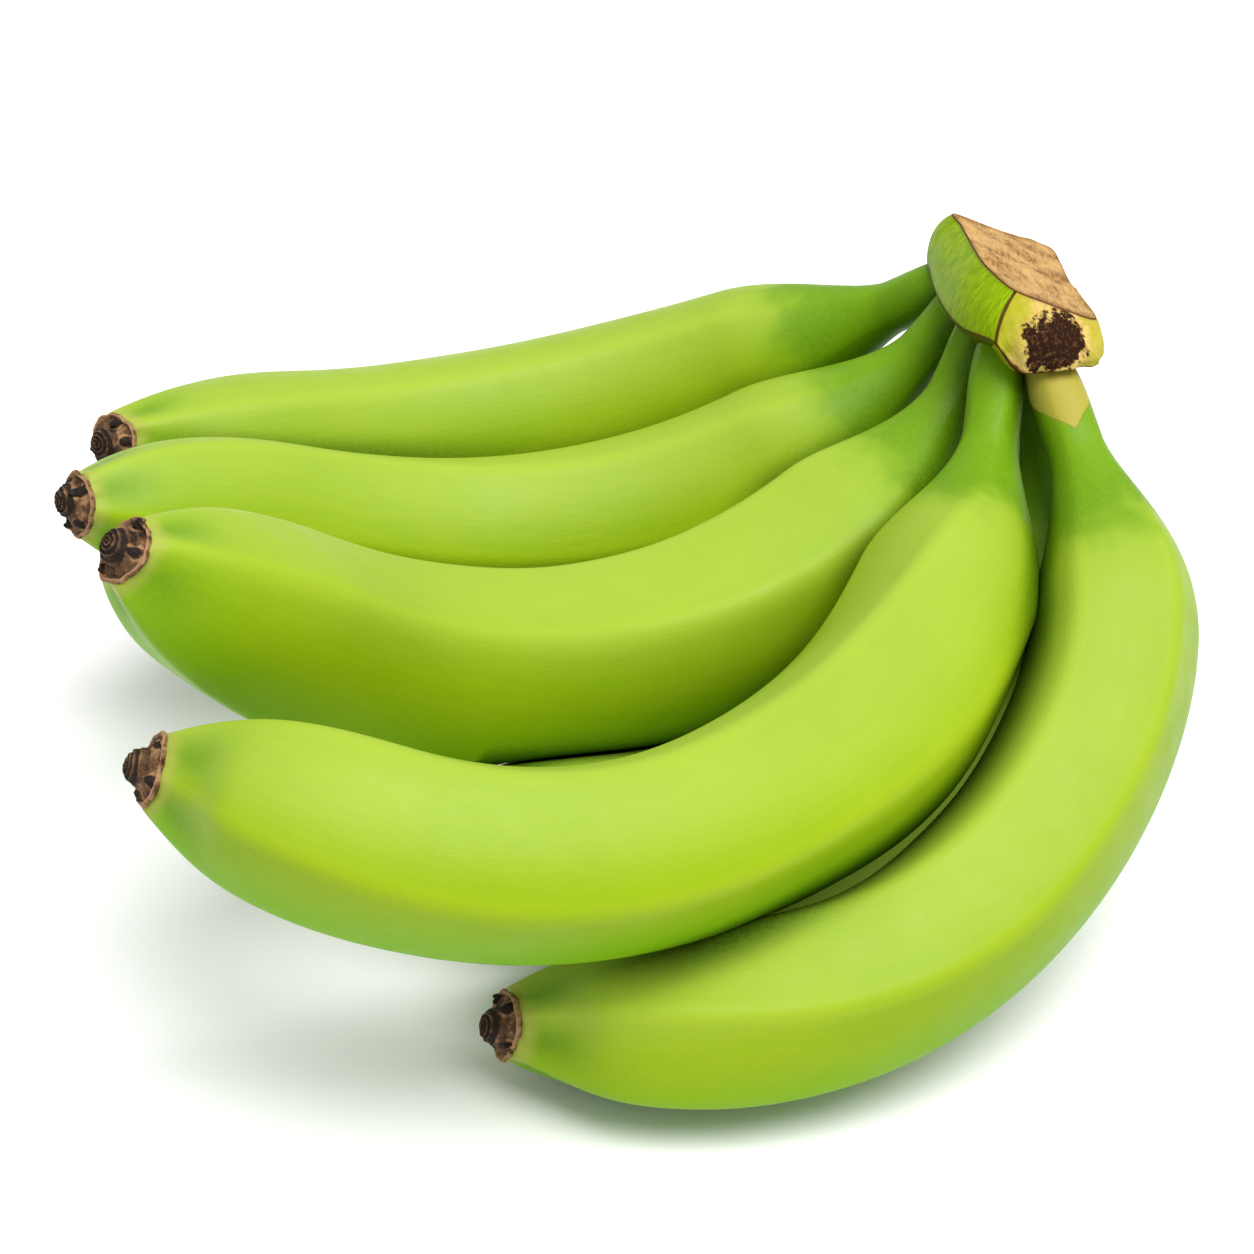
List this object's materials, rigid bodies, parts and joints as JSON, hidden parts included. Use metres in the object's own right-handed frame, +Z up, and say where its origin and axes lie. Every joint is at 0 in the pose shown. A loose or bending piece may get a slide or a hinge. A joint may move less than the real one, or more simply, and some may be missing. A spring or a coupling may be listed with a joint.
{
  "type": "bunch of bananas",
  "caption": "Hand of unripe green bananas lying on its backs: curved ridged fingers fan out from one cut crown on thin pedicels and end in small dried flower remains.",
  "frame": {"origin": "on the surface it lies on, below the middle of the bunch's bounding box", "axes": "+Z up; +X towards the crown's side, with the flower ends towards -X; +Y towards the far finger of the fan"},
  "size_m": [0.2198, 0.2156, 0.1098],
  "materials": {
    "skin_1": "satin waxy skin",
    "skin_2": "satin waxy skin",
    "skin_3": "satin waxy skin",
    "skin_4": "satin waxy skin",
    "skin_5": "satin waxy skin",
    "skin_6": "satin waxy skin",
    "skin_7": "satin waxy skin",
    "skin_8": "satin waxy skin",
    "dried_flower": "dry, matte",
    "crown_cork": "corky cut fibre and green skin"
  },
  "bodies": {
    "root": {"banana_1": "skin_1", "banana_2": "skin_2", "banana_3": "skin_3", "banana_4": "skin_4", "banana_5": "skin_5", "banana_6": "skin_6", "banana_7": "skin_7", "banana_8": "skin_8", "blossom_end_1": "dried_flower", "blossom_end_2": "dried_flower", "blossom_end_3": "dried_flower", "blossom_end_4": "dried_flower", "blossom_end_5": "dried_flower", "blossom_end_6": "dried_flower", "blossom_end_7": "dried_flower", "blossom_end_8": "dried_flower", "crown": "crown_cork"}
  },
  "joints": []
}
